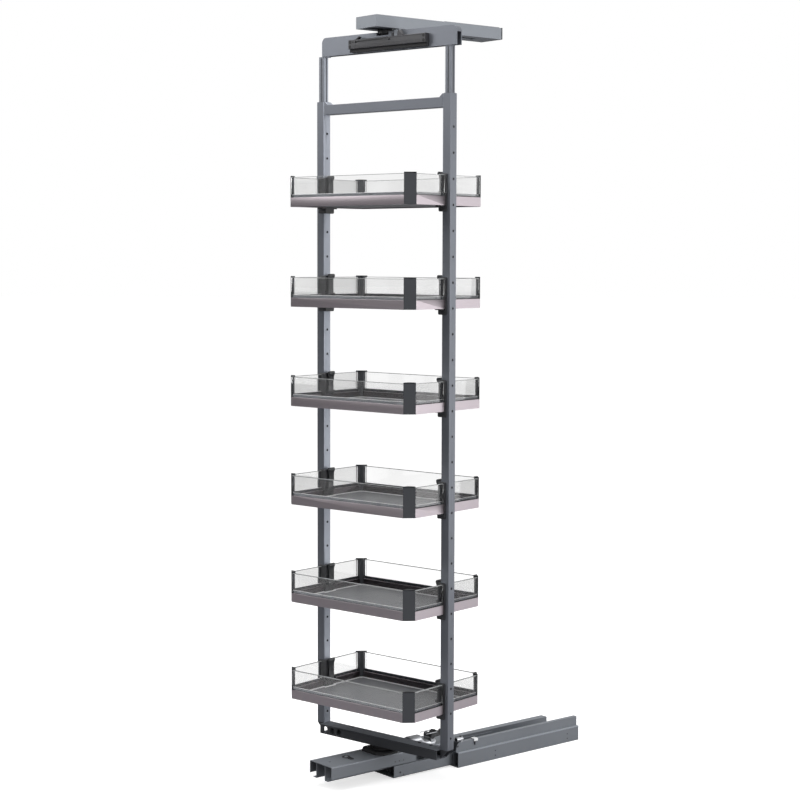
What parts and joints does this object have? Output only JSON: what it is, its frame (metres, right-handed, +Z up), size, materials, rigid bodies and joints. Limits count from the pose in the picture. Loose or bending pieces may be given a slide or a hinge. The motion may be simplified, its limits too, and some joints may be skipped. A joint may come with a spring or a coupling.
{
  "type": "pull out pantry frame",
  "caption": "Tall pantry frame on a floor rail and a top rail that pulls out and swings, with glass-sided baskets latched to rows of holes in its posts.",
  "frame": {"origin": "middle of the floor rail's four screws, on the rail's underside", "axes": "+Z up, +Y into the cabinet along the rails, +X to the right seen from the front; the swinging frame stands turned 10 degrees to the left about its pivot"},
  "size_m": [0.4698, 0.85, 1.959],
  "materials": {
    "frame_paint": "satin anthracite paint",
    "rail_steel": "satin grey paint on steel",
    "dark_steel": "dark satin paint",
    "zinc": "bright zinc plate",
    "black_plastic": "matt black",
    "damper_black": "matt black, fine grain",
    "basket_rim": "brushed, champagne",
    "basket_post": "satin anthracite paint",
    "basket_floor": "matt grey board",
    "basket_glass": "clear, polished edges"
  },
  "bodies": {
    "cabinet_side": {"cabinet_rail": "rail_steel", "rail_catch": "zinc", "top_rail": "rail_steel"},
    "middle": {"middle_rail": "rail_steel", "middle_rollers": "black_plastic"},
    "pull_out": {"front_rail": "rail_steel", "swivel_base": "dark_steel", "lock_housing": "zinc"},
    "release": {"lock_lever": "black_plastic"},
    "swinging_frame": {"bottom_crossbar": "frame_paint", "side_posts": "frame_paint", "tie_bar": "frame_paint"},
    "upper_frame": {"upper_tubes": "frame_paint", "upper_crossbar": "frame_paint", "damper_housing": "damper_black"},
    "catch": {"damper_catch": "black_plastic"},
    "slide_box": {"top_slide": "rail_steel"},
    "trolley": {"top_trolley": "black_plastic"},
    "basket1": {"basket1_rim": "basket_rim", "basket1_floor": "basket_floor", "basket1_glass": "basket_glass", "basket1_corner_posts": "basket_post", "basket1_clips": "black_plastic"},
    "finger1_left": {"basket1_lever_left": "black_plastic"},
    "finger1_right": {"basket1_lever_right": "black_plastic"},
    "basket2": {"basket2_rim": "basket_rim", "basket2_floor": "basket_floor", "basket2_glass": "basket_glass", "basket2_corner_posts": "basket_post", "basket2_clips": "black_plastic"},
    "finger2_left": {"basket2_lever_left": "black_plastic"},
    "finger2_right": {"basket2_lever_right": "black_plastic"},
    "basket3": {"basket3_rim": "basket_rim", "basket3_floor": "basket_floor", "basket3_glass": "basket_glass", "basket3_corner_posts": "basket_post", "basket3_clips": "black_plastic"},
    "finger3_left": {"basket3_lever_left": "black_plastic"},
    "finger3_right": {"basket3_lever_right": "black_plastic"},
    "basket4": {"basket4_rim": "basket_rim", "basket4_floor": "basket_floor", "basket4_glass": "basket_glass", "basket4_corner_posts": "basket_post", "basket4_clips": "black_plastic"},
    "finger4_left": {"basket4_lever_left": "black_plastic"},
    "finger4_right": {"basket4_lever_right": "black_plastic"},
    "basket5": {"basket5_rim": "basket_rim", "basket5_floor": "basket_floor", "basket5_glass": "basket_glass", "basket5_corner_posts": "basket_post", "basket5_clips": "black_plastic"},
    "finger5_left": {"basket5_lever_left": "black_plastic"},
    "finger5_right": {"basket5_lever_right": "black_plastic"},
    "basket6": {"basket6_rim": "basket_rim", "basket6_floor": "basket_floor", "basket6_glass": "basket_glass", "basket6_corner_posts": "basket_post", "basket6_clips": "black_plastic"},
    "finger6_left": {"basket6_lever_left": "black_plastic"},
    "finger6_right": {"basket6_lever_right": "black_plastic"}
  },
  "joints": [
    {"name": "front_slide", "type": "slide", "parent": "cabinet_side", "child": "pull_out", "axis": [0, 1, 0], "range_m": [0, 0.4]},
    {"name": "middle_slide", "type": "slide", "parent": "cabinet_side", "child": "middle", "axis": [0, 1, 0], "range_m": [0, 0.2]},
    {"name": "top_box_slide", "type": "slide", "parent": "cabinet_side", "child": "slide_box", "axis": [0, 1, 0], "range_m": [0, 0.2]},
    {"name": "trolley_slide", "type": "slide", "parent": "slide_box", "child": "trolley", "axis": [0, 1, 0], "range_m": [0, 0.2]},
    {"name": "swivel", "type": "hinge", "parent": "pull_out", "child": "swinging_frame", "pos_m": [0, -0.419, 0.082], "axis": [0, 0, 1], "range_deg": [-100, 0]},
    {"name": "release_hinge", "type": "hinge", "parent": "pull_out", "child": "release", "pos_m": [0.029, -0.287, 0.0903], "axis": [1, 0, 0], "range_deg": [0, 20], "stiffness_Nm_per_rad": 0.2},
    {"name": "height_slide", "type": "slide", "parent": "swinging_frame", "child": "upper_frame", "axis": [0, 0, 1], "range_m": [-0.06, 0]},
    {"name": "catch_slide", "type": "slide", "parent": "upper_frame", "child": "catch", "axis": [0.9848, 0.1736, 0], "range_m": [-0.06, 0]},
    {"name": "basket1_height", "type": "slide", "parent": "swinging_frame", "child": "basket1", "axis": [0, 0, 1], "range_m": [-0.064, 0.064]},
    {"name": "finger1_left_hinge", "type": "hinge", "parent": "basket1", "child": "finger1_left", "pos_m": [-0.18288, -0.45125, 0.2298], "axis": [-0.1736, 0.9848, 0], "range_deg": [0, 8], "stiffness_Nm_per_rad": 0.1},
    {"name": "finger1_right_hinge", "type": "hinge", "parent": "basket1", "child": "finger1_right", "pos_m": [0.18288, -0.38675, 0.2298], "axis": [0.1736, -0.9848, 0], "range_deg": [0, 8], "stiffness_Nm_per_rad": 0.1},
    {"name": "basket2_height", "type": "slide", "parent": "swinging_frame", "child": "basket2", "axis": [0, 0, 1], "range_m": [-0.064, 0.064]},
    {"name": "finger2_left_hinge", "type": "hinge", "parent": "basket2", "child": "finger2_left", "pos_m": [-0.18288, -0.45125, 0.4858], "axis": [-0.1736, 0.9848, 0], "range_deg": [0, 8], "stiffness_Nm_per_rad": 0.1},
    {"name": "finger2_right_hinge", "type": "hinge", "parent": "basket2", "child": "finger2_right", "pos_m": [0.18288, -0.38675, 0.4858], "axis": [0.1736, -0.9848, 0], "range_deg": [0, 8], "stiffness_Nm_per_rad": 0.1},
    {"name": "basket3_height", "type": "slide", "parent": "swinging_frame", "child": "basket3", "axis": [0, 0, 1], "range_m": [-0.064, 0.064]},
    {"name": "finger3_left_hinge", "type": "hinge", "parent": "basket3", "child": "finger3_left", "pos_m": [-0.18288, -0.45125, 0.7418], "axis": [-0.1736, 0.9848, 0], "range_deg": [0, 8], "stiffness_Nm_per_rad": 0.1},
    {"name": "finger3_right_hinge", "type": "hinge", "parent": "basket3", "child": "finger3_right", "pos_m": [0.18288, -0.38675, 0.7418], "axis": [0.1736, -0.9848, 0], "range_deg": [0, 8], "stiffness_Nm_per_rad": 0.1},
    {"name": "basket4_height", "type": "slide", "parent": "swinging_frame", "child": "basket4", "axis": [0, 0, 1], "range_m": [-0.064, 0.064]},
    {"name": "finger4_left_hinge", "type": "hinge", "parent": "basket4", "child": "finger4_left", "pos_m": [-0.18288, -0.45125, 0.9978], "axis": [-0.1736, 0.9848, 0], "range_deg": [0, 8], "stiffness_Nm_per_rad": 0.1},
    {"name": "finger4_right_hinge", "type": "hinge", "parent": "basket4", "child": "finger4_right", "pos_m": [0.18288, -0.38675, 0.9978], "axis": [0.1736, -0.9848, 0], "range_deg": [0, 8], "stiffness_Nm_per_rad": 0.1},
    {"name": "basket5_height", "type": "slide", "parent": "swinging_frame", "child": "basket5", "axis": [0, 0, 1], "range_m": [-0.064, 0.064]},
    {"name": "finger5_left_hinge", "type": "hinge", "parent": "basket5", "child": "finger5_left", "pos_m": [-0.18288, -0.45125, 1.2538], "axis": [-0.1736, 0.9848, 0], "range_deg": [0, 8], "stiffness_Nm_per_rad": 0.1},
    {"name": "finger5_right_hinge", "type": "hinge", "parent": "basket5", "child": "finger5_right", "pos_m": [0.18288, -0.38675, 1.2538], "axis": [0.1736, -0.9848, 0], "range_deg": [0, 8], "stiffness_Nm_per_rad": 0.1},
    {"name": "basket6_height", "type": "slide", "parent": "swinging_frame", "child": "basket6", "axis": [0, 0, 1], "range_m": [-0.064, 0.064]},
    {"name": "finger6_left_hinge", "type": "hinge", "parent": "basket6", "child": "finger6_left", "pos_m": [-0.18288, -0.45125, 1.5098], "axis": [-0.1736, 0.9848, 0], "range_deg": [0, 8], "stiffness_Nm_per_rad": 0.1},
    {"name": "finger6_right_hinge", "type": "hinge", "parent": "basket6", "child": "finger6_right", "pos_m": [0.18288, -0.38675, 1.5098], "axis": [0.1736, -0.9848, 0], "range_deg": [0, 8], "stiffness_Nm_per_rad": 0.1}
  ],
  "couplings": [
    {"joint": "middle_slide", "follows": "front_slide", "ratio": 0.5},
    {"joint": "top_box_slide", "follows": "front_slide", "ratio": 0.5},
    {"joint": "trolley_slide", "follows": "front_slide", "ratio": 0.5}
  ]
}
